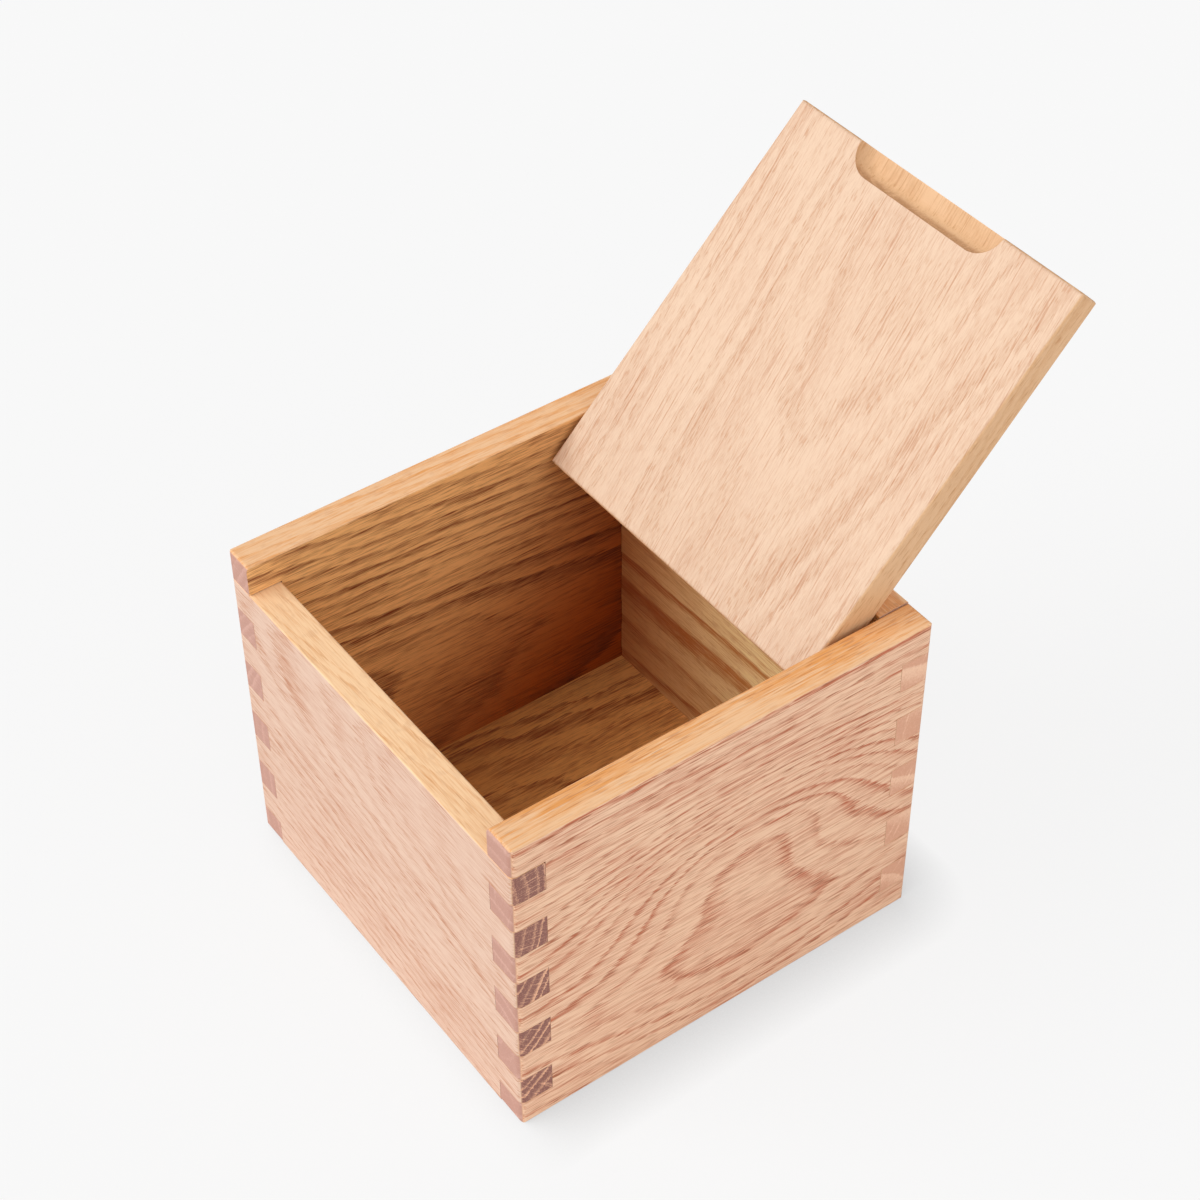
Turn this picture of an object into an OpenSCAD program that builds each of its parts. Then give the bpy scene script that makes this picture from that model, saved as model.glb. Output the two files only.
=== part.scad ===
// Salt box in oak, with a lid that turns on two hidden pins.
// Four finger-jointed walls hold a base panel let in flush from below. The lid is one
// board between the side walls, thinner towards its front edge. It is drawn open, where it
// leans back on the rear wall.
// Millimetres, +Z up. The front is towards -Y, and the origin is the middle of the underside.

/* [Box] */
// Outside width, left to right
box_w = 128; // [96:1:200]
// Outside depth, front to back
box_d = 128; // [90:1:200]
// Outside height of the side walls and the rear wall
box_h = 104.5; // [60:0.5:180]
// How far the top of the front wall lies below that
front_drop = 9.3; // [9:0.1:10.5]
// Thickness of the wall boards
wall_t = 9.6; // [8:0.1:14]
// Rounding of the four upright corners
corner_r = 1.8; // [0.8:0.1:4]
// Rounding of the side walls' ends, at the top and at the foot
end_r = 1.2; // [0.4:0.1:3]
// Easing of the walls' long edges
edge_r = 0.6; // [0.2:0.1:1]

/* [Corner joints] */
// Fingers in each corner, an odd number, with the side walls holding the first and the last
finger_n = 11; // [5:2:15]
// How much lower the lowest finger is than the others
foot_cut = 1.2; // [0:0.1:2]
// Glue line round each finger
glue_gap = 0.1; // [0.02:0.02:0.2]
// Open seam beside the topmost fingers
top_seam = 0.3; // [0.1:0.05:0.5]

/* [Base panel] */
// Thickness of the base panel
base_t = 5; // [3:0.5:7]
// Depth of the rabbet that it sits in, in the foot of each wall
rabbet_d = 3; // [1.5:0.5:5]
// Room round the edge of the panel
base_gap = 0.2; // [0.05:0.05:0.5]

/* [Lid] */
// Thickness of the lid at its rear edge
lid_rear_t = 11.4; // [10.6:0.1:11.8]
// Thickness of the lid at its front edge
lid_front_t = 7.8; // [7:0.1:9]
// Gap between the shut lid and the front wall that it comes down on
seat_gap = 0.1; // [0.05:0.05:0.5]
// Gap on each side of the lid
side_gap = 1.2; // [0.6:0.1:2.5]
// Easing of the lid's edges
lid_edge_r = 1; // [0.3:0.1:1.5]
// Rounding of the lid's upper rear edge, which turns past the rear wall
swing_r = 2.5; // [1:0.1:3.5]

/* [Finger scoop] */
// Length of the scoop along the lid's front edge
scoop_w = 54; // [26:1:70]
// How far the scoop reaches in from the front edge
scoop_reach = 7.8; // [5:0.1:12]
// Depth of the scoop in the underside
scoop_depth = 4.8; // [4:0.1:5.5]
// Rounding between the scoop's floor and its wall
scoop_cove = 4; // [1:0.1:4.7]
// Place of its middle, to the right of the lid's middle
scoop_shift = -1.9; // [-8:0.1:8]

/* [Pivot] */
// Diameter of the pivot pins
pin_d = 3; // [2:0.1:3.5]
// Depth of a pin in its side wall
pin_in_wall = 6.4; // [4:0.1:6.8]
// Depth of a pin in the lid
pin_in_lid = 7; // [4:0.5:12]
// Length of lid behind the pins
pivot_inset = 11.8; // [8:0.1:20]
// Height of the middle of the pins above the lid's underside
pivot_rise = 5.6; // [5.2:0.1:6]
// Depth of the middle of the pins below the top of the side walls
pivot_drop = 5.4; // [5:0.1:5.8]
// Radial running clearance of a pin in the lid
run_gap = 0.06; // [0.02:0.01:0.1]
// Radial glue line of a pin in its side wall
pin_glue_gap = 0.02; // [0.01:0.01:0.04]
// Room past the end of a pin in its hole
pin_end_gap = 0.5; // [0.2:0.1:1]
// Gap by which the lid's rear corner swings past the rear wall
swing_gap = 0.2; // [0.1:0.1:0.8]
// Gap between the open lid and the edge of the rear wall that it leans on
lean_gap = 0.25; // [0.1:0.05:0.6]

/* [Hidden] */
$fn = 64;

oak_cross = "#e6bb9a";
oak_side = "#d9a981";
oak_base = "#c8945f";
oak_lid = "#efcba8";
pin_steel = "#b9b6b0";

// How far a cutting shape runs past the face that it opens
past = 1;
// Chamfer on the ends of a pin
pin_chamfer = 0.3;

inner_w = box_w - 2 * wall_t;
inner_d = box_d - 2 * wall_t;
// Middles of the front, rear and side boards
front_mid = (wall_t - box_d) / 2;
rear_mid = -front_mid;
side_mid = (box_w - wall_t) / 2;

// The fingers below the front wall's top divide its height
front_h = box_h - front_drop;
pitch = (front_h + foot_cut) / (finger_n - 1);

// The lid's own frame has the middle of the pins at Y = 0 and Z = 0, and its underside flat
lid_w = inner_w - 2 * side_gap;
under_z = -pivot_rise;

// The lid's upper rear edge turns about the pins at this radius. The taper is so slight that
// the edge is taken as square here.
corner_z = under_z + lid_rear_t - swing_r;
corner_swing = norm([pivot_inset - swing_r, corner_z]) + swing_r;
pivot_to_wall = corner_swing + swing_gap;
pivot_y = inner_d / 2 - pivot_to_wall;
pivot_z = box_h - pivot_drop;

// The shut lid ends flush with the front wall's face
lid_front_y = -(pivot_y + box_d / 2);
lid_l = pivot_inset - lid_front_y;
taper = atan((lid_rear_t - lid_front_t) / lid_l);

// The shut lid's underside comes down to the rounded inner top edge of the front wall
seat_y = pivot_y + inner_d / 2 + edge_r;
seat_z = pivot_z - front_h + edge_r;
seat_reach = pivot_rise + edge_r + seat_gap;
shut_tilt = atan2(seat_y, seat_z) - acos(seat_reach / norm([seat_y, seat_z]));

// The open lid's upper face comes to the rounded inner top edge of the rear wall
lean_y = pivot_to_wall + edge_r;
lean_z = pivot_drop - edge_r;
upper_z = under_z + lid_front_t - lid_front_y * tan(taper);
lean_reach = upper_z * cos(taper) + edge_r + lean_gap;
open_tilt = taper + atan2(lean_y, lean_z) + acos(lean_reach / norm([lean_y, lean_z]));

// Half the distance between the middles of the scoop's round ends
scoop_run = scoop_w / 2 - scoop_reach;

// Height of the lower edge of a finger, counted from 0 at the foot
function finger_z(k) = k == 0 ? 0 : k * pitch - foot_cut;

module rounded_rect(w, h, r) {
    square([w - 2 * r, h], center = true);
    square([w, h - 2 * r], center = true);
    for (x = [-1, 1], y = [-1, 1])
        translate([x * (w / 2 - r), y * (h / 2 - r)])
            circle(r);
}

// A bar along X with its long edges rounded
module bar_x(l, w, h, r) {
    rotate([90, 0, 90])
        linear_extrude(l, center = true)
            rounded_rect(w, h, r);
}

// A bar along Y with its long edges rounded
module bar_y(w, l, h, r) {
    rotate([90, 0, 0])
        linear_extrude(l, center = true)
            rounded_rect(w, h, r);
}

// The outline of the box from above, with its rounded upright corners
module box_plan() {
    linear_extrude(box_h)
        rounded_rect(box_w, box_d, corner_r);
}

// The room that the base panel is let into
module rabbet() {
    translate([0, 0, (base_t - past) / 2])
        cube([inner_w + 2 * rabbet_d, inner_d + 2 * rabbet_d, base_t + past], center = true);
}

// The hole for a pin, about the X axis, from its end at x
module pin_hole(x, depth, gap) {
    translate([x, 0, 0])
        rotate([0, 90, 0])
            cylinder(h = depth, r = pin_d / 2 + gap);
}

// A board along X, between the side walls' fingers
module cross_board(mid, h) {
    intersection() {
        box_plan();
        translate([0, mid, h / 2])
            bar_x(box_w, wall_t, h, edge_r);
    }
}

// The slots in both ends of a cross board, for the side walls' fingers from z0 to z1
module cross_slots(mid, z0, z1, depth) {
    for (side = [-1, 1])
        translate([side * (box_w - depth + past) / 2, mid, (z0 + z1) / 2])
            cube([depth + past, wall_t + 2 * past, z1 - z0], center = true);
}

// The slots below the front wall's top, the same in the front and the rear wall
module common_cross_slots(mid) {
    cross_slots(mid, -past, finger_z(1) + glue_gap / 2, wall_t + glue_gap);
    for (k = [2 : 2 : finger_n - 3])
        cross_slots(mid, finger_z(k) - glue_gap / 2, finger_z(k + 1) + glue_gap / 2,
                    wall_t + glue_gap);
}

module front_wall() {
    color(oak_cross)
        difference() {
            cross_board(front_mid, front_h);
            common_cross_slots(front_mid);
            rabbet();
        }
}

module rear_wall() {
    color(oak_cross)
        difference() {
            cross_board(rear_mid, box_h);
            common_cross_slots(rear_mid);
            cross_slots(rear_mid, front_h - glue_gap / 2, box_h + past, wall_t + top_seam);
            rabbet();
        }
}

// A slot in the end of a side wall, for a cross board's finger from z0 to z1
module side_slot(end, z0, z1) {
    translate([side_mid, end * (box_d - wall_t - glue_gap + past) / 2, (z0 + z1) / 2])
        cube([wall_t + 2 * past, wall_t + glue_gap + past, z1 - z0], center = true);
}

// A side wall as it stands on the right
module side_wall() {
    difference() {
        intersection() {
            box_plan();
            translate([side_mid, 0, box_h / 2])
                bar_y(wall_t, box_d, box_h, edge_r);
            translate([side_mid, 0, box_h / 2])
                bar_x(wall_t, box_d, box_h, end_r);
        }
        for (end = [-1, 1], k = [1 : 2 : finger_n - 2])
            side_slot(end, finger_z(k) - glue_gap / 2, finger_z(k + 1) + glue_gap / 2);
        side_slot(-1, finger_z(finger_n - 2), front_h + top_seam);
        rabbet();
        translate([0, pivot_y, pivot_z])
            pin_hole(inner_w / 2 - past, pin_in_wall + pin_end_gap + past, pin_glue_gap);
    }
}

module left_wall() {
    color(oak_side)
        mirror([1, 0, 0])
            side_wall();
}

module right_wall() {
    color(oak_side)
        side_wall();
}

module base_panel() {
    color(oak_base)
        translate([0, 0, base_t / 2])
            cube([inner_w + 2 * (rabbet_d - base_gap), inner_d + 2 * (rabbet_d - base_gap),
                  base_t], center = true);
}

// The scoop's cross-section, from its middle to one side
module scoop_half() {
    intersection() {
        translate([0, -past])
            square([scoop_reach, scoop_depth + past]);
        union() {
            translate([0, -past])
                square([scoop_reach - scoop_cove, scoop_depth + past]);
            translate([0, -past])
                square([scoop_reach, scoop_depth + past - scoop_cove]);
            translate([scoop_reach - scoop_cove, scoop_depth - scoop_cove])
                circle(scoop_cove);
        }
    }
}

// The round-ended scoop, its middle line on the lid's front edge and its mouth in the underside
module scoop() {
    translate([scoop_shift, lid_front_y, under_z]) {
        for (side = [-1, 1])
            translate([side * scoop_run, 0, 0])
                rotate_extrude()
                    scoop_half();
        rotate([90, 0, 90])
            linear_extrude(2 * scoop_run, center = true) {
                scoop_half();
                mirror([1, 0])
                    scoop_half();
            }
    }
}

// The lid's long section, a wedge with four rounded corners, from its front lower corner
module lid_section() {
    r = lid_edge_r;
    slope = tan(taper);
    normal = [-sin(taper), cos(taper)];
    front_c = [r, lid_front_t + r * slope - r / cos(taper)];
    rear_c = [lid_l - swing_r, lid_front_t + (lid_l - swing_r) * slope - swing_r / cos(taper)];
    polygon([[r, 0], [lid_l - r, 0], [lid_l, r], [lid_l, rear_c[1]],
             rear_c + swing_r * normal, front_c + r * normal, [0, front_c[1]], [0, r]]);
    for (c = [[r, r], [lid_l - r, r], front_c])
        translate(c)
            circle(r);
    translate(rear_c)
        circle(swing_r);
}

// The lid's board in its own frame. Two bars round its long edges, one along the underside
// and one along the sloping upper face, and then its outline from above rounds its corners.
module lid_board() {
    mid_y = lid_front_y + lid_l / 2;
    intersection() {
        intersection() {
            translate([0, lid_front_y, under_z])
                rotate([90, 0, 90])
                    linear_extrude(lid_w, center = true)
                        lid_section();
            translate([0, mid_y, under_z + lid_rear_t])
                bar_y(lid_w, 2 * lid_l, 2 * lid_rear_t, lid_edge_r);
            translate([0, 0, upper_z])
                rotate([taper, 0, 0])
                    translate([0, mid_y, -lid_rear_t])
                        bar_y(lid_w, 2 * lid_l, 2 * lid_rear_t, lid_edge_r);
        }
        translate([0, mid_y, 0])
            linear_extrude(4 * lid_rear_t, center = true)
                rounded_rect(lid_w, lid_l, lid_edge_r);
    }
}

module lid() {
    color(oak_lid)
        translate([0, pivot_y, pivot_z])
            rotate([-open_tilt, 0, 0])
                difference() {
                    lid_board();
                    scoop();
                    for (side = [0, 1])
                        mirror([side, 0, 0])
                            pin_hole(lid_w / 2 - pin_in_lid - pin_end_gap,
                                     pin_in_lid + pin_end_gap + past, run_gap);
                }
}

// A pin as it lies on the right, from its inner end in the lid
module pivot_pin() {
    length = pin_in_lid + side_gap + pin_in_wall;
    r = pin_d / 2;
    translate([lid_w / 2 - pin_in_lid, pivot_y, pivot_z])
        rotate([0, 90, 0])
            rotate_extrude()
                polygon([[0, 0], [r - pin_chamfer, 0], [r, pin_chamfer],
                         [r, length - pin_chamfer], [r - pin_chamfer, length], [0, length]]);
}

module left_pivot_pin() {
    color(pin_steel)
        mirror([1, 0, 0])
            pivot_pin();
}

module right_pivot_pin() {
    color(pin_steel)
        pivot_pin();
}

front_wall();
rear_wall();
left_wall();
right_wall();
base_panel();
lid();
left_pivot_pin();
right_pivot_pin();
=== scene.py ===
"""Looks of an oak salt box with a pivoting lid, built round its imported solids.

Each board is cut from its own block of solid oak figure: rings round a pith line, rays, pores and
fibre are worked out in the board's own frame, in millimetres, so that faces, edges and end grain
belong together and stay with the lid when it turns.
"""
import math

import bpy
from mathutils import Matrix, Vector


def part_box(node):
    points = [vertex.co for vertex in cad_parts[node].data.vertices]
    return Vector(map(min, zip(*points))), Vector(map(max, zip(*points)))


bl_info = {
    "name": "Oak Salt Box",
    "version": (1, 0, 0),
    "blender": (4, 5, 0),
    "location": "3D View > Sidebar > Salt Box",
    "description": "Finishes a finger-jointed oak salt box with a pivoting lid",
    "category": "Object",
}

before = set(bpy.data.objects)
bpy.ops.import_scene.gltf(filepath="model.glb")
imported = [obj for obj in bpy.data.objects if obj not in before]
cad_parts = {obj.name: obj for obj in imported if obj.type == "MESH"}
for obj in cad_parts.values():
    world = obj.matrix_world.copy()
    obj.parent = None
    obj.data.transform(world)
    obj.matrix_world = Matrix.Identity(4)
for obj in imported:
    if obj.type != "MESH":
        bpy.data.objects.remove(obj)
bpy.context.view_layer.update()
HALF_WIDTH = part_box("right_wall")[1].x
HALF_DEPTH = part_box("rear_wall")[1].y
RIGHT, BACK, UP = Vector((1, 0, 0)), Vector((0, 1, 0)), Vector((0, 0, 1))
MM = 1000  # millimetres in a metre
JITTER_OFF_FACE = 0.45  # share of the rings' fraying that is left on a board's other sides
PORES_OFF_FACE = 0.4  # share of the pores' strength that is left there

# The camera, found by fitting the box's corners to the photograph: where it stands, where it looks, which
# way its right side points before it is rolled, and the roll in radians.
CAMERA_PLACE = Vector((0.39426, -0.27431, 0.55293))
CAMERA_AHEAD = Vector((-0.5914, 0.4230, -0.6865))
CAMERA_SIDE = Vector((0.5817, 0.8134, 0))
CAMERA_ROLL = -0.0093


def linear(code):
    """A screen colour such as "#C08A55", as the linear colour that the shader nodes use."""
    parts = [int(code[i:i + 2], 16) / 255 for i in (1, 3, 5)]
    return [p / 12.92 if p <= 0.04045 else ((p + 0.055) / 1.055) ** 2.4 for p in parts] + [1.0]


def tint(name, code, description):
    """A colour that the user may change."""
    return bpy.props.FloatVectorProperty(
        name=name, description=description, subtype="COLOR", size=4, min=0, max=1, default=linear(code))


def length(name, millimetres, description):
    """A length that the user may change, kept in metres."""
    return bpy.props.FloatProperty(
        name=name, description=description, subtype="DISTANCE", unit="LENGTH", default=millimetres / MM)


def add(tree, kind, inputs, **settings):
    """Adds one node with its settings. An input is set to a value, or joined to a node or a socket."""
    node = tree.nodes.new("ShaderNode" + kind)
    for name, value in settings.items():
        setattr(node, name, value)
    for key, value in inputs.items():
        if isinstance(value, bpy.types.Node):
            value = value.outputs[0]
        if isinstance(value, bpy.types.NodeSocket):
            tree.links.new(value, node.inputs[key])
        else:
            node.inputs[key].default_value = value
    return node


def calc(tree, operation, *values, clamp=False):
    """One step of arithmetic on numbers, nodes or sockets."""
    return add(tree, "Math", dict(enumerate(values)), operation=operation, use_clamp=clamp)


def smooth(tree, value, start, end):
    """Goes softly from 0 where the value is at start to 1 where it is at end."""
    return add(tree, "MapRange", {0: value, 1: start, 2: end}, interpolation_type="SMOOTHSTEP")


def between(tree, share, low, high):
    """The number that lies between low and high at the given share of the way."""
    return add(tree, "MapRange", {0: share, 3: low, 4: high})


def mix(tree, share, first, second, blend_type="MIX"):
    """The colour that lies between two others at the given share of the way."""
    node = add(tree, "Mix", {0: share, 6: first, 7: second}, data_type="RGBA", blend_type=blend_type)
    return node.outputs[2]


def noise(tree, here, cell, shift, detail, roughness=0.5):
    """Noise whose grains are cell[0] mm long, along the fibre, and cell[1] mm wide and deep."""
    place = add(tree, "VectorMath", {0: here, 1: (1 / cell[0], 1 / cell[1], 1 / cell[1]), 2: shift},
                operation="MULTIPLY_ADD")
    return add(tree, "TexNoise", {"Vector": place, "Scale": 1, "Detail": detail, "Roughness": roughness})


def new_material(name):
    """A new material, with its node tree and its shader."""
    material = bpy.data.materials.new(name)
    material.use_nodes = True
    return material, material.node_tree, material.node_tree.nodes["Principled BSDF"]


# How a board is cut from its log. Places and lengths are in mm in the board's own frame: x runs along the
# fibre, y across it and z out of the face. Every board sets these keys:
#   seed        moves the noise, so that each board has a figure of its own
#   pith        y and z of the log's centre line
#   heart       distance from the pith at which the count of years starts
#   unrest      how many years the count may drift, so that the rings are unevenly wide
#   wander      how far the rings sway over some centimetres
#   jitter      how far they fray from pore to pore
#   soft        share of a year that passes before its dark line sets in
#   strays      share of the pores that lie outside the dark lines
#   contrast, fibre, threads, pores, rays       how strongly each of these shows
# and these where it differs from the values below, which most boards share:
#   lean        how far the pith moves in y for each mm of x
#   taper       how much is added to the distance from the pith for each mm of x
#   knots       bulges in the rings: centre in x and y, half size in x and y, and lift
#   pace        how many times wider the rings are than the look's ring width
#   streak      length of one line of fibre
#   dash        length of one pore
#   face_depth  where one side is both face and recess, the depth from which it counts as recess
#   shade       direction in which one side is darkened, from shade_from to shade_to along it
#   inside      the side that is darkened: the "back" or the "face"
#   calm        how strongly rings show on the face, where 1 is as strongly as on the other sides
PLAIN_CUT = {"lean": 0, "taper": 0, "knots": (), "pace": 1, "streak": 11, "dash": 5, "face_depth": 0,
             "shade": None, "inside": "back", "calm": 1}


def board_frame(grain, out, origin, tilt=0.0):
    """Turns the shared frame in metres into a board's own frame in mm: x along the fibre, z out of its
    face. The fibre may run askew to the board's edges by tilt degrees."""
    grain = Matrix.Rotation(math.radians(tilt), 3, out) @ grain
    across = out.cross(grain)
    turn = Matrix((grain, across, out))
    return {"turn": turn.to_euler(), "shift": turn @ origin * -MM, "grain": grain, "out": out}


def find_sides(tree, normal, board, level, face_depth):
    """Which way the surface faces: 1 on the board's face, on its back or on its sawn ends, else 0. The
    bounds are cosines, apart from the recess's, which are in mm below the face."""
    ahead = add(tree, "VectorMath", {0: normal, 1: board["grain"]}, operation="DOT_PRODUCT")
    ahead = calc(tree, "ABSOLUTE", ahead.outputs["Value"])
    is_end = smooth(tree, ahead, 0.55, 0.8)
    outward = add(tree, "VectorMath", {0: normal, 1: board["out"]}, operation="DOT_PRODUCT").outputs["Value"]
    is_face = smooth(tree, outward, 0.6, 0.9)
    is_back = smooth(tree, outward, -0.6, -0.9)
    if face_depth:  # a recess in the face is not part of the face
        above = smooth(tree, level, -face_depth, -0.3)
        is_face = calc(tree, "MULTIPLY", is_face, above)
    return is_face, is_back, is_end


def find_radius(tree, here, along, from_pith, is_face, cut):
    """Distance from the pith in mm, bent by the stem's taper, its knots and the rings' uneven growth."""
    radius = add(tree, "VectorMath", {0: from_pith}, operation="LENGTH").outputs["Value"]
    radius = calc(tree, "MULTIPLY_ADD", along, cut["taper"], radius)
    for centre, size, lift in cut["knots"]:
        near = add(tree, "VectorMath", {0: here, 1: (-centre[0], -centre[1], 0)}, operation="ADD")
        near = add(tree, "VectorMath", {0: near, 1: (1 / size[0], 1 / size[1], 0)}, operation="MULTIPLY")
        near = add(tree, "VectorMath", {0: near}, operation="LENGTH").outputs["Value"]
        near = smooth(tree, near, 1.0, 0.0)
        radius = calc(tree, "MULTIPLY_ADD", near, lift, radius)
    seed = Vector(cut["seed"])
    wander = noise(tree, here, (45, 20), seed, detail=2, roughness=0.45)
    wander = calc(tree, "ADD", wander, -0.5)
    radius = calc(tree, "MULTIPLY_ADD", wander, 2 * cut["wander"], radius)
    jitter = noise(tree, here, (6, 0.55), seed, detail=1)
    jitter = calc(tree, "ADD", jitter, -0.5)
    reach = between(tree, is_face, cut["jitter"] * JITTER_OFF_FACE, cut["jitter"])
    return calc(tree, "MULTIPLY_ADD", jitter, reach, radius)


def grow_rings(tree, radius, ring_width, cut):
    """Growth rings: a dark line of open early wood for each year, some years faint. Gives how far on
    each point lies in its year, and the dark lines."""
    years = calc(tree, "SUBTRACT", radius, cut["heart"])
    years = calc(tree, "MULTIPLY", years, 1 / (ring_width * cut["pace"]))
    seasons = add(tree, "TexNoise", {"W": years, "Scale": 0.45, "Detail": 1}, noise_dimensions="1D")
    years = calc(tree, "MULTIPLY_ADD", seasons, cut["unrest"], years)
    phase = calc(tree, "FRACT", years)
    darkest = 0.9  # of a year
    rise = smooth(tree, phase, cut["soft"], darkest)
    fall = smooth(tree, phase, 1.0, darkest)
    ring = calc(tree, "MULTIPLY", rise, fall)
    year = calc(tree, "FLOOR", years)
    year = add(tree, "TexWhiteNoise", {"W": year}, noise_dimensions="1D")
    strength = between(tree, year, 0.3, 1.0)
    return phase, calc(tree, "MULTIPLY", ring, strength)


def grow_rays(tree, from_pith, radius, along, pith):
    """Rays: thin plates that run out from the pith. On a face they are dashes, on an end fine spokes."""
    thick, deep, tall = 0.5, 9, 3.2  # size of one ray in mm
    parts = add(tree, "SeparateXYZ", {0: from_pith})
    angle = calc(tree, "ARCTAN2", parts.outputs[1], parts.outputs[2])
    round_pith = calc(tree, "MULTIPLY", angle, math.hypot(*pith) / thick)
    from_heart = calc(tree, "MULTIPLY", radius, 1 / deep)
    up_stem = calc(tree, "MULTIPLY", along, 1 / tall)
    place = add(tree, "CombineXYZ", {0: round_pith, 1: from_heart, 2: up_stem})
    rays = add(tree, "TexNoise", {"Vector": place, "Scale": 1, "Detail": 1, "Roughness": 0.4})
    return smooth(tree, rays, 0.58, 0.72)


def oak(name, board, cut, look, ends):
    """Sanded and oiled oak. The eye gets ring lines that break up into pore dashes, long fine fibre and
    end grain of another tone, all with a soft satin sheen."""
    material, tree, shader = new_material(name)
    cut = {**PLAIN_CUT, **cut}
    seed = Vector(cut["seed"])
    spot = add(tree, "TexCoord", {})
    here = add(tree, "Mapping", {"Vector": spot.outputs["Object"], "Location": board["shift"],
                                 "Rotation": board["turn"], "Scale": (MM, MM, MM)})
    along, _, level = add(tree, "SeparateXYZ", {0: here}).outputs
    is_face, is_back, is_end = find_sides(tree, spot.outputs["Normal"], board, level, cut["face_depth"])

    # Where each point lies as seen from the pith, which may lean.
    from_pith = add(tree, "VectorMath", {0: along, 1: (0, -cut["lean"], 0),
                                         2: (0, -cut["pith"][0], -cut["pith"][1])}, operation="MULTIPLY_ADD")
    from_pith = add(tree, "VectorMath", {0: here, 1: (0, 1, 1), 2: from_pith}, operation="MULTIPLY_ADD")
    radius = find_radius(tree, here, along, from_pith, is_face, cut)
    phase, ring = grow_rings(tree, radius, look.ring * MM, cut)
    rays = grow_rays(tree, from_pith, radius, along, cut["pith"])

    # Pores: open vessels, crowded in the early wood. Real ones are about 0.3 mm wide. They are drawn with
    # grains of 0.42 mm so that they show.
    pores = noise(tree, here, (cut["dash"], 0.42), seed, detail=0)
    pores = smooth(tree, pores, 0.58, 0.68)
    crowding = calc(tree, "ADD", ring, cut["strays"], clamp=True)
    pores = calc(tree, "MULTIPLY", pores, crowding)

    # Threads: single vessels cut at a low angle, 22 mm long, drawn with grains of 0.5 mm so that they show.
    threads = noise(tree, here, (22, 0.5), -seed, detail=0)
    threads = smooth(tree, threads, 0.6, 0.8)

    # How dark each point is: rings, a darker late wood towards the end of each year, fibre (also drawn
    # coarser than real), threads and a slow drift of up to a third either way.
    fibre = noise(tree, here, (cut["streak"], 0.5), seed, detail=2, roughness=0.85)
    slow = noise(tree, here, (40, 15), -seed, detail=1)
    late = calc(tree, "MULTIPLY", phase, 0.3 * cut["contrast"])
    dark = calc(tree, "MULTIPLY_ADD", ring, cut["contrast"], late)
    calm = between(tree, is_face, 1.0, cut["calm"])
    dark = calc(tree, "MULTIPLY", dark, calm)
    thin = calc(tree, "ADD", fibre, -0.5)
    dark = calc(tree, "MULTIPLY_ADD", thin, cut["fibre"], dark)
    dark = calc(tree, "MULTIPLY_ADD", threads, cut["threads"], dark)
    drift = calc(tree, "MULTIPLY_ADD", slow, 0.6, -0.25)
    dark = calc(tree, "ADD", drift, dark, clamp=True)

    # Colour: each side of the board has its own light and dark tone. On the walls, the inner side's tones also
    # hold painted light and shade of the box's inside.
    light_tone = mix(tree, is_face, look.edge_light, look.face_light)
    light_tone = mix(tree, is_back, light_tone, look.back_light)
    dark_tone = mix(tree, is_face, look.edge_dark, look.face_dark)
    dark_tone = mix(tree, is_back, dark_tone, look.back_dark)
    colour = mix(tree, dark, light_tone, dark_tone)
    if cut["shade"]:  # a soft darkening towards one corner, which stands in for the photograph's shade there
        inside = is_face if cut["inside"] == "face" else is_back
        shade = add(tree, "VectorMath", {0: here, 1: cut["shade"]}, operation="DOT_PRODUCT").outputs["Value"]
        shade = smooth(tree, shade, cut["shade_from"], cut["shade_to"])
        shade = calc(tree, "MULTIPLY", shade, inside)
        colour = mix(tree, shade, colour, look.shade, blend_type="MULTIPLY")
    pore_strength = between(tree, is_face, cut["pores"] * PORES_OFF_FACE, cut["pores"])
    marks = calc(tree, "MULTIPLY", rays, cut["rays"])
    marks = calc(tree, "MULTIPLY_ADD", pores, pore_strength, marks, clamp=True)
    colour = mix(tree, marks, colour, look.pore)
    spokes = calc(tree, "MULTIPLY_ADD", rays, 0.5, ring)  # sawn ends show rings, spokes and cut fibre
    spokes = calc(tree, "MULTIPLY_ADD", thin, 1.6, spokes, clamp=True)
    colour = mix(tree, is_end, colour, mix(tree, spokes, *ends))
    tree.links.new(colour, shader.inputs["Base Color"])

    # Sheen: oil sits matt in the open pores and a little smoother on the hard late wood.
    matt = calc(tree, "ADD", pores, ring, clamp=True)
    matt = between(tree, matt, 0.5, 0.7)
    tree.links.new(matt.outputs[0], shader.inputs["Roughness"])
    height = calc(tree, "MULTIPLY_ADD", pores, -0.8, fibre)
    height = calc(tree, "MULTIPLY_ADD", ring, -0.5, height)
    relief = add(tree, "Bump", {"Strength": 0.5, "Distance": 0.0001, "Height": height})
    tree.links.new(relief.outputs[0], shader.inputs["Normal"])
    shader.inputs["IOR"].default_value = 1.47
    return material


def ground_steel(name, look):
    """Ground steel rod: fine turning marks round the pin break the reflections into thin rings."""
    material, tree, shader = new_material(name)
    along_pin, round_pin = 9 * MM, 0.3 * MM  # marks in a metre
    spot = add(tree, "TexCoord", {})
    marks = add(tree, "VectorMath", {0: spot.outputs["Object"], 1: (along_pin, round_pin, round_pin)},
                operation="MULTIPLY")
    marks = add(tree, "TexNoise", {"Vector": marks, "Scale": 1, "Detail": 2})
    tree.links.new(mix(tree, marks, look.steel_dark, look.steel_light), shader.inputs["Base Color"])
    rough = between(tree, marks, 0.22, 0.42)
    tree.links.new(rough.outputs[0], shader.inputs["Roughness"])
    relief = add(tree, "Bump", {"Strength": 0.3, "Distance": 0.00002, "Height": marks})
    tree.links.new(relief.outputs[0], shader.inputs["Normal"])
    shader.inputs["Metallic"].default_value = 1.0
    return material


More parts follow.
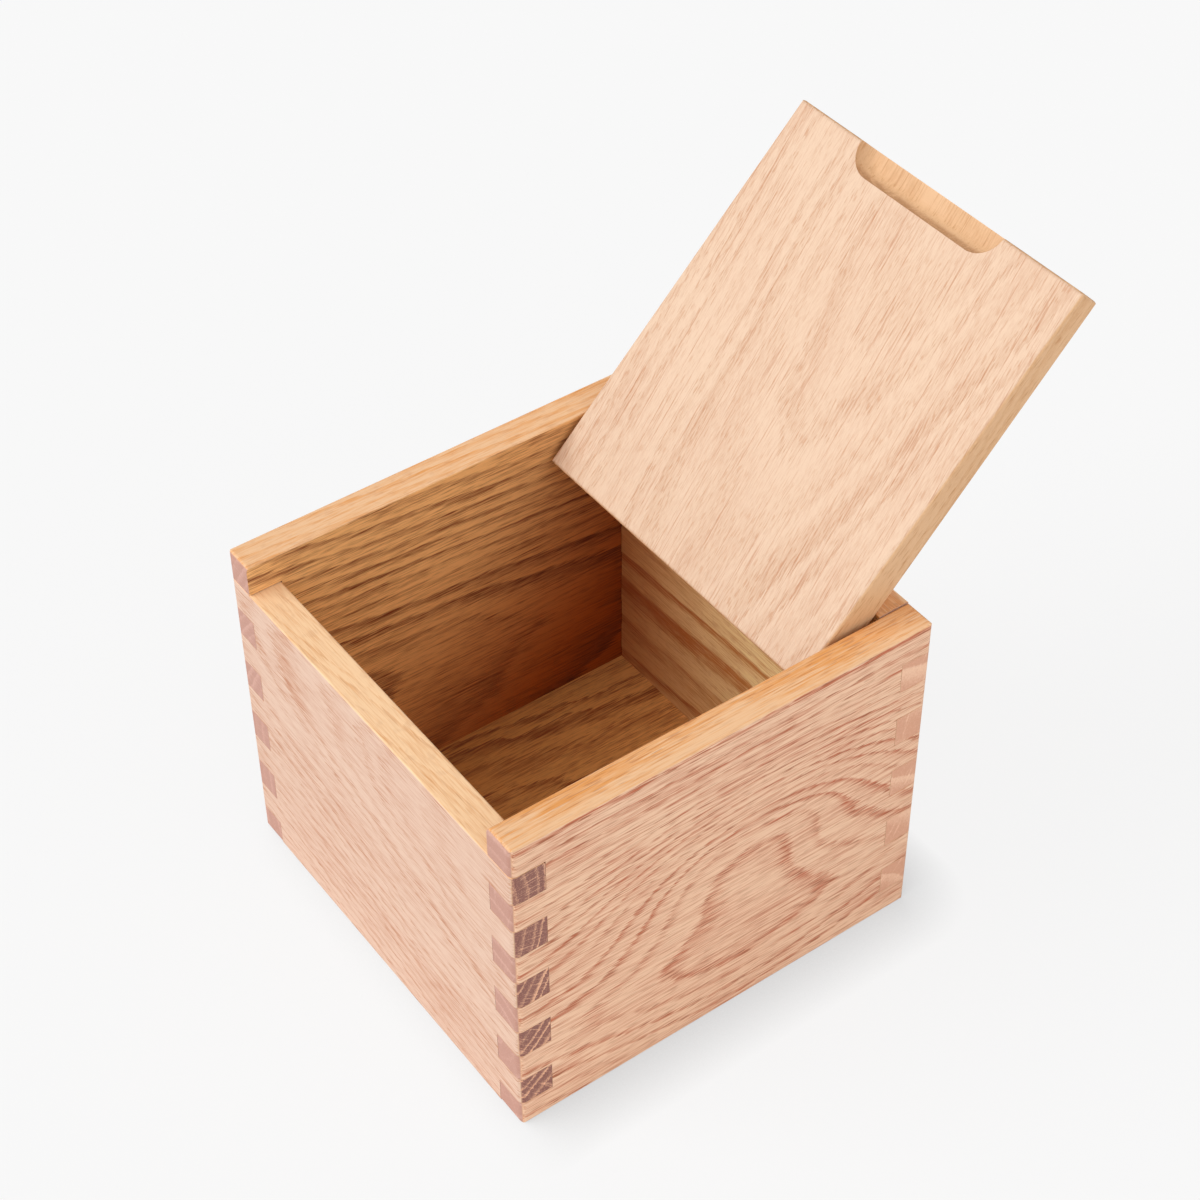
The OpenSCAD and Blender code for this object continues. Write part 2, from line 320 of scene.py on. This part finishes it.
def finish_node(node, material):
    """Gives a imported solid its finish."""
    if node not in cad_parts:
        raise RuntimeError("the packed model has no piece named " + node)
    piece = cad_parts[node]
    piece.data.materials.clear()
    piece.data.materials.append(material)


class CrossWallLook(bpy.types.PropertyGroup):
    """Front and rear walls, whose grain runs from side to side."""
    ring: length("Ring Width", 2.8, "Width of one growth ring, before a board's own pace")
    face_light: tint("Face, Late Wood", "#DAB9A3", "Outer face between the ring lines")
    face_dark: tint("Face, Early Wood", "#B67550", "Outer face in the ring lines")
    edge_light: tint("Edge, Late Wood", "#F7CEA1", "Top edge between the ring lines")
    edge_dark: tint("Edge, Early Wood", "#DE9F66", "Top edge in the ring lines")
    # The inner face's tones are partly painted light: lighter and more orange than the face's, to stand in for
    # light bounced round inside the box.
    back_light: tint("Inside, Late Wood", "#FFEAB0", "Inner face between the ring lines")
    back_dark: tint("Inside, Early Wood", "#C38040", "Inner face in the ring lines")
    shade: tint("Inner Shade", "#D0987A", "Darkening of the rear wall's inner face towards one side")
    front_end_light: tint("Front End, Early Wood", "#EDB591", "Ring lines on the front wall's sawn ends")
    front_end_dark: tint("Front End, Late Wood", "#835046", "Ground of the front wall's sawn ends")
    rear_end_light: tint("Rear End, Early Wood", "#F2C5A5", "Ring lines on the rear wall's sawn ends")
    rear_end_dark: tint("Rear End, Late Wood", "#D69D7E", "Ground of the rear wall's sawn ends")
    pore: tint("Pore", "#B0714E", "Open pores")


class SideWallLook(bpy.types.PropertyGroup):
    """Left and right walls, whose grain runs from front to back."""
    ring: length("Ring Width", 4.8, "Width of one growth ring, before a board's own pace")
    face_light: tint("Face, Late Wood", "#EEC4A2", "Outer face between the ring lines")
    face_dark: tint("Face, Early Wood", "#BA613D", "Outer face in the ring lines")
    edge_light: tint("Edge, Late Wood", "#EEC093", "Top edge between the ring lines")
    edge_dark: tint("Edge, Early Wood", "#E39A53", "Top edge in the ring lines")
    # The inner face's tones are partly painted light and shade: more orange than the face's, for warm light
    # bounced inside the box, and far darker in the ring lines, for the shade low in the box.
    back_light: tint("Inside, Late Wood", "#F7BE7C", "Inner face between the ring lines")
    back_dark: tint("Inside, Early Wood", "#743002", "Inner face in the ring lines")
    shade: tint("Inner Shade", "#AC6D32", "Darkening of the left wall's inner face towards one corner")
    end_light: tint("End, Early Wood", "#C99D8E", "Ring lines on sawn ends")
    end_dark: tint("End, Late Wood", "#B78675", "Ground of sawn ends")
    pore: tint("Pore", "#A25C3A", "Open pores")


class BaseLook(bpy.types.PropertyGroup):
    """The base panel, whose grain runs from front to back."""
    ring: length("Ring Width", 3.0, "Width of one growth ring")
    face_light: tint("Face, Late Wood", "#FFC276", "Inner face between the ring lines")
    face_dark: tint("Face, Early Wood", "#A35A26", "Inner face in the ring lines")
    edge_light: tint("Edge, Late Wood", "#D9A876", "Edge between the ring lines")
    edge_dark: tint("Edge, Early Wood", "#A8703F", "Edge in the ring lines")
    back_light: tint("Underside, Late Wood", "#E2B48C", "Underside between the ring lines")
    back_dark: tint("Underside, Early Wood", "#BC8257", "Underside in the ring lines")
    shade: tint("Inner Shade", "#B9A080", "Darkening of the inner face towards one corner")
    end_light: tint("End, Early Wood", "#C99D83", "Ring lines on sawn ends")
    end_dark: tint("End, Late Wood", "#7C5347", "Ground of sawn ends")
    pore: tint("Pore", "#6E3F22", "Open pores")


class LidLook(bpy.types.PropertyGroup):
    """The lid, whose grain runs from the pivot to the free edge."""
    ring: length("Ring Width", 3.0, "Width of one growth ring")
    face_light: tint("Underside, Late Wood", "#DEBEA2", "Underside between the ring lines")
    face_dark: tint("Underside, Early Wood", "#C39171", "Underside in the ring lines")
    edge_light: tint("Edge, Late Wood", "#DEB286", "Edges and scoop between the ring lines")
    edge_dark: tint("Edge, Early Wood", "#C28E5D", "Edges and scoop in the ring lines")
    back_light: tint("Top, Late Wood", "#F4D0B0", "Upper face between the ring lines")
    back_dark: tint("Top, Early Wood", "#D9A581", "Upper face in the ring lines")
    end_light: tint("End, Early Wood", "#E3B68A", "Ring lines on sawn ends")
    end_dark: tint("End, Late Wood", "#C08F64", "Ground of sawn ends")
    pore: tint("Pore", "#BD7F57", "Open pores")


class PinLook(bpy.types.PropertyGroup):
    """The two hidden pivot pins."""
    steel_light: tint("Steel", "#C9C8C5", "Ground steel")
    steel_dark: tint("Turning Marks", "#8F8D89", "Fine rings left by grinding")


class StageLook(bpy.types.PropertyGroup):
    """Floor, lamps and camera."""
    floor: tint("Floor", "#F8F8F8", "Pale sweep under the box")
    glow: bpy.props.FloatProperty(
        name="Floor Glow", description="Share of the floor's brightness that takes no long shadow", default=0.9)
    contact: length("Contact Shadow", 18, "How far the shadow at the foot reaches")
    sky: bpy.props.FloatProperty(name="Soft Light", description="Strength of the even light", default=0.50)
    key: bpy.props.FloatProperty(name="Key Light", description="Strength of the main lamp", default=1.9)
    key_from: bpy.props.FloatVectorProperty(
        name="Key From", description="Direction that the main lamp shines from", subtype="DIRECTION",
        default=(-0.35, -0.75, 0.55))
    fill: bpy.props.FloatProperty(name="Fill Light", description="Strength of the second lamp", default=1.05)
    fill_from: bpy.props.FloatVectorProperty(
        name="Fill From", description="Direction that the second lamp shines from", subtype="DIRECTION",
        default=(0.80, -0.10, 0.50))
    key_spread: bpy.props.FloatProperty(
        name="Key Spread", description="Width of the main lamp as seen from the box", subtype="ANGLE",
        unit="ROTATION", default=math.radians(45))
    fill_spread: bpy.props.FloatProperty(
        name="Fill Spread", description="Width of the second lamp as seen from the box", subtype="ANGLE",
        unit="ROTATION", default=math.radians(90))
    lens: bpy.props.FloatProperty(
        name="Focal Length", description="Of a camera with a sensor 36 mm wide", subtype="DISTANCE_CAMERA",
        unit="CAMERA", default=78.12)


class SALTBOX_OT_cross_walls(bpy.types.Operator):
    """Finishes the front and rear walls"""
    bl_idname = "saltbox.cross_walls"
    bl_label = "Front and Rear Walls"

    def execute(self, context):
        look = context.scene.saltbox_cross_walls
        front = board_frame(RIGHT, -BACK, Vector((0, -HALF_DEPTH, 0)))
        cut = {"seed": (3.1, 7.7, 1.9), "pith": (88, 62), "taper": -0.15, "heart": 62, "unrest": 1.2,
               "wander": 2.0, "jitter": 2.8, "soft": 0.5, "strays": 0.25, "contrast": 0.34, "fibre": 2.2,
               "threads": 0.3, "pores": 0.4, "rays": 0.1}
        finish_node("front_wall", oak("Oak board, front wall, flat sawn and oiled", front, cut, look,
                                      (look.front_end_dark, look.front_end_light)))
        rear = board_frame(-RIGHT, BACK, Vector((0, HALF_DEPTH, 0)))
        cut = {"seed": (9.3, 2.2, 5.4), "pith": (-30, -40), "taper": 0.05, "heart": 50, "pace": 4.2,
               "unrest": 1.4, "wander": 2.0, "jitter": 2.6, "soft": 0.3, "strays": 0.15, "contrast": 0.75,
               "fibre": 2.4, "threads": 0.25, "pores": 0.6, "rays": 0.2, "calm": 0.4,
               "shade": (1, 0, 0), "shade_from": -30, "shade_to": 75}
        finish_node("rear_wall", oak("Oak board, rear wall, flat sawn and oiled", rear, cut, look,
                                     (look.rear_end_dark, look.rear_end_light)))
        return {"FINISHED"}


class SALTBOX_OT_side_walls(bpy.types.Operator):
    """Finishes the left and right walls"""
    bl_idname = "saltbox.side_walls"
    bl_label = "Side Walls"

    def execute(self, context):
        look = context.scene.saltbox_side_walls
        ends = (look.end_dark, look.end_light)
        right = board_frame(BACK, RIGHT, Vector((HALF_WIDTH, 0, 0)))
        cut = {"seed": (4.4, 1.3, 8.2), "pith": (28, -12), "heart": 0.9, "unrest": 0.3,
               "knots": (((8, 22), (75, 70), -11.5), ((10, 65), (76, 36), -25), ((33, 47), (20, 16), 3)),
               "wander": 1.2, "jitter": 2.9, "soft": 0.55, "strays": 0.35, "contrast": 0.52, "fibre": 2.7,
               "threads": 0.3, "pores": 0.85, "rays": 0.0, "streak": 17, "dash": 6}
        finish_node("right_wall", oak("Oak board, right wall, flat sawn and oiled", right, cut, look, ends))
        left = board_frame(-BACK, -RIGHT, Vector((-HALF_WIDTH, 0, 0)))
        cut = {"seed": (6.6, 5.1, 2.7), "pith": (40, -250), "taper": -0.08, "heart": 236.9, "pace": 0.71,
               "unrest": 0.6, "knots": (((0, 118), (500, 78), 32),), "wander": 1.6, "jitter": 2.6,
               "soft": 0.22, "strays": 0.2, "contrast": 0.52, "fibre": 2.4, "threads": 0.3, "pores": 0.5,
               "rays": 0.1, "calm": 0.55, "shade": (-0.7, -0.7, 0), "shade_from": -70, "shade_to": 20}
        finish_node("left_wall", oak("Oak board, left wall, flat sawn and oiled", left, cut, look, ends))
        return {"FINISHED"}


class SALTBOX_OT_base_panel(bpy.types.Operator):
    """Finishes the base panel"""
    bl_idname = "saltbox.base_panel"
    bl_label = "Base Panel"

    def execute(self, context):
        look = context.scene.saltbox_base
        panel = board_frame(BACK, UP, Vector((0, 0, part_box("base_panel")[1].z)))
        cut = {"seed": (1.2, 9.8, 3.3), "pith": (20, -50), "taper": 0.06, "heart": 50, "unrest": 1.2,
               "wander": 3.0, "jitter": 2.6, "soft": 0.3, "strays": 0.2, "contrast": 0.65, "fibre": 2.4,
               "threads": 0.3, "pores": 0.35, "rays": 0.2,
               "shade": (-0.7, 0.7, 0), "shade_from": -30, "shade_to": 60, "inside": "face"}
        finish_node("base_panel", oak("Oak panel, base, oiled", panel, cut, look,
                                      (look.end_dark, look.end_light)))
        return {"FINISHED"}


class SALTBOX_OT_lid(bpy.types.Operator):
    """Finishes the lid, which is stored open"""
    bl_idname = "saltbox.lid"
    bl_label = "Lid"

    def execute(self, context):
        look = context.scene.saltbox_lid
        # The underside is the largest flat side that looks up and forwards while the lid stands open.
        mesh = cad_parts["lid"].data
        sides = {}
        for face in mesh.polygons:
            if face.normal.y < -0.1 and face.normal.z > 0.1:
                key = tuple(round(part, 2) for part in face.normal)
                sides[key] = sides.get(key, Vector()) + face.normal * face.area
        if not sides:
            raise RuntimeError("the lid has no side that could be its underside")
        out = max(sides.values(), key=lambda side: side.length).normalized()
        grain = out.cross(RIGHT)
        along = [vertex.co.dot(grain) for vertex in mesh.vertices]
        top = max(vertex.co.dot(out) for vertex in mesh.vertices)
        origin = grain * (min(along) + max(along)) / 2 + out * top
        board = board_frame(grain, out, origin, tilt=7)  # the fibre runs a little askew, as photographed
        cut = {"seed": (8.5, 4.6, 6.1), "pith": (-9, -70), "lean": -0.16, "taper": -0.065, "heart": 70,
               "unrest": 1.2, "wander": 2.0, "jitter": 2.6, "soft": 0.2, "strays": 0.3, "contrast": 0.2,
               "fibre": 1.2, "threads": 0.6, "pores": 0.38, "rays": 0.0, "streak": 4.5, "dash": 3,
               "face_depth": 0.9}
        finish_node("lid", oak("Oak board, lid, flat sawn and oiled", board, cut, look,
                               (look.end_dark, look.end_light)))
        return {"FINISHED"}


class SALTBOX_OT_pivot_pins(bpy.types.Operator):
    """Finishes the two pivot pins"""
    bl_idname = "saltbox.pivot_pins"
    bl_label = "Pivot Pins"

    def execute(self, context):
        material = ground_steel("Steel rod, ground, pivot pins", context.scene.saltbox_pins)
        for node in ("left_pivot_pin", "right_pivot_pin"):
            finish_node(node, material)
        return {"FINISHED"}


class SALTBOX_OT_stage(bpy.types.Operator):
    """Lays the floor and sets lamps, sky and camera"""
    bl_idname = "saltbox.stage"
    bl_label = "Stage"

    def execute(self, context):
        scene, look = context.scene, context.scene.saltbox_stage
        scene.view_settings.view_transform = "Standard"

        # Floor: a wide pale sheet just under the box.
        mesh = bpy.data.meshes.new("floor")
        half, drop = 4.0, 0.00005  # metres
        corners = ((-half, -half), (half, -half), (half, half), (-half, half))
        mesh.from_pydata([(x, y, -drop) for x, y in corners], [], [(0, 1, 2, 3)])
        floor = bpy.data.objects.new("floor", mesh)
        scene.collection.objects.link(floor)
        paper, tree, shader = new_material("Paper sweep, matt")
        spot = add(tree, "TexCoord", {})
        flecks = add(tree, "TexNoise", {"Vector": spot.outputs["Object"], "Scale": 900, "Detail": 2})
        tone = mix(tree, 1.0, look.floor, between(tree, flecks, 0.995, 1.005), blend_type="MULTIPLY")
        tree.links.new(tone, shader.inputs["Base Color"])
        shader.inputs["Roughness"].default_value = 0.95
        shader.inputs["Specular IOR Level"].default_value = 0.0
        # The eye sees a glowing sweep, as in a lit studio, on which the lamps' shadows are faint. Close to
        # the foot, ambient occlusion dims it on the side away from the key lamp: the contact shadow.
        lit_from = Vector(look.key_from)
        facing = add(tree, "CombineXYZ", {0: lit_from.x, 1: lit_from.y, 2: lit_from.z})
        open_sky = add(tree, "AmbientOcclusion", {"Distance": look.contact, "Normal": facing}, samples=6)
        dimmed = between(tree, open_sky.outputs["AO"], 0.5, 1.0)
        glow = add(tree, "Emission", {"Color": look.floor, "Strength": dimmed})
        path = add(tree, "LightPath", {})
        share = calc(tree, "MULTIPLY", path.outputs["Is Camera Ray"], look.glow)
        both = add(tree, "MixShader", {0: share, 1: shader, 2: glow})
        tree.links.new(both.outputs[0], tree.nodes["Material Output"].inputs["Surface"])
        mesh.materials.append(paper)

        # Sky: even white light, seen by the camera and in reflections as a pale backdrop.
        world = bpy.data.worlds.new("Soft studio")
        scene.world = world
        world.use_nodes = True
        tree = world.node_tree
        tree.nodes.clear()
        path = add(tree, "LightPath", {})
        seen = calc(tree, "MAXIMUM", path.outputs["Is Camera Ray"], path.outputs["Is Glossy Ray"])
        seen = calc(tree, "MAXIMUM", seen, path.outputs["Is Transmission Ray"])
        light = add(tree, "Background", {"Color": (1, 1, 1, 1), "Strength": look.sky})
        backdrop = add(tree, "Background", {"Color": linear("#F7F7F7"), "Strength": 1.0})
        both = add(tree, "MixShader", {0: seen, 1: light, 2: backdrop})
        add(tree, "OutputWorld", {"Surface": both})

        # Lamps: a large soft key from the front left and a wider fill from the right.
        for name, power, source, spread in (("key", look.key, look.key_from, look.key_spread),
                                            ("fill", look.fill, look.fill_from, look.fill_spread)):
            lamp = bpy.data.lights.new(name, "SUN")
            lamp.energy = power
            lamp.angle = spread
            holder = bpy.data.objects.new(name, lamp)
            holder.rotation_euler = Vector(source).to_track_quat("Z", "Y").to_euler()
            scene.collection.objects.link(holder)

        # Camera: it stands as the photograph's did, and is rolled a little.
        ahead = CAMERA_AHEAD.normalized()
        side = CAMERA_SIDE.normalized()
        above = side.cross(ahead)
        across = math.cos(CAMERA_ROLL) * side + math.sin(CAMERA_ROLL) * above
        above = math.cos(CAMERA_ROLL) * above - math.sin(CAMERA_ROLL) * side
        data = bpy.data.cameras.new("camera")
        data.lens = look.lens
        data.sensor_width = 36
        data.clip_start = 0.01
        camera = bpy.data.objects.new("camera", data)
        camera.matrix_world = Matrix.Translation(CAMERA_PLACE) @ Matrix(
            (across, above, -ahead)).transposed().to_4x4()
        scene.collection.objects.link(camera)
        scene.camera = camera
        return {"FINISHED"}


OPERATORS = (SALTBOX_OT_cross_walls, SALTBOX_OT_side_walls, SALTBOX_OT_base_panel, SALTBOX_OT_lid,
             SALTBOX_OT_pivot_pins, SALTBOX_OT_stage)
LOOKS = {"saltbox_cross_walls": CrossWallLook, "saltbox_side_walls": SideWallLook, "saltbox_base": BaseLook,
         "saltbox_lid": LidLook, "saltbox_pins": PinLook, "saltbox_stage": StageLook}


class SALTBOX_PT_panel(bpy.types.Panel):
    """Lists the pieces of the salt box and the stage"""
    bl_label = "Salt Box"
    bl_idname = "SALTBOX_PT_panel"
    bl_space_type = "VIEW_3D"
    bl_region_type = "UI"
    bl_category = "Salt Box"

    def draw(self, context):
        for operator in OPERATORS:
            self.layout.operator(operator.bl_idname)
        for name, look in LOOKS.items():
            box = self.layout.box()
            for prop in look.__annotations__:
                box.prop(getattr(context.scene, name), prop)


def register():
    for look in LOOKS.values():
        bpy.utils.register_class(look)
    for operator in OPERATORS:
        bpy.utils.register_class(operator)
    bpy.utils.register_class(SALTBOX_PT_panel)
    for name, look in LOOKS.items():
        setattr(bpy.types.Scene, name, bpy.props.PointerProperty(type=look))


def unregister():
    for name in LOOKS:
        delattr(bpy.types.Scene, name)
    bpy.utils.unregister_class(SALTBOX_PT_panel)
    for operator in reversed(OPERATORS):
        bpy.utils.unregister_class(operator)
    for look in reversed(list(LOOKS.values())):
        bpy.utils.unregister_class(look)


def main():
    register()
    bpy.ops.saltbox.cross_walls()
    bpy.ops.saltbox.side_walls()
    bpy.ops.saltbox.base_panel()
    bpy.ops.saltbox.lid()
    bpy.ops.saltbox.pivot_pins()
    bpy.ops.saltbox.stage()


if __name__ == "__main__":
    main()
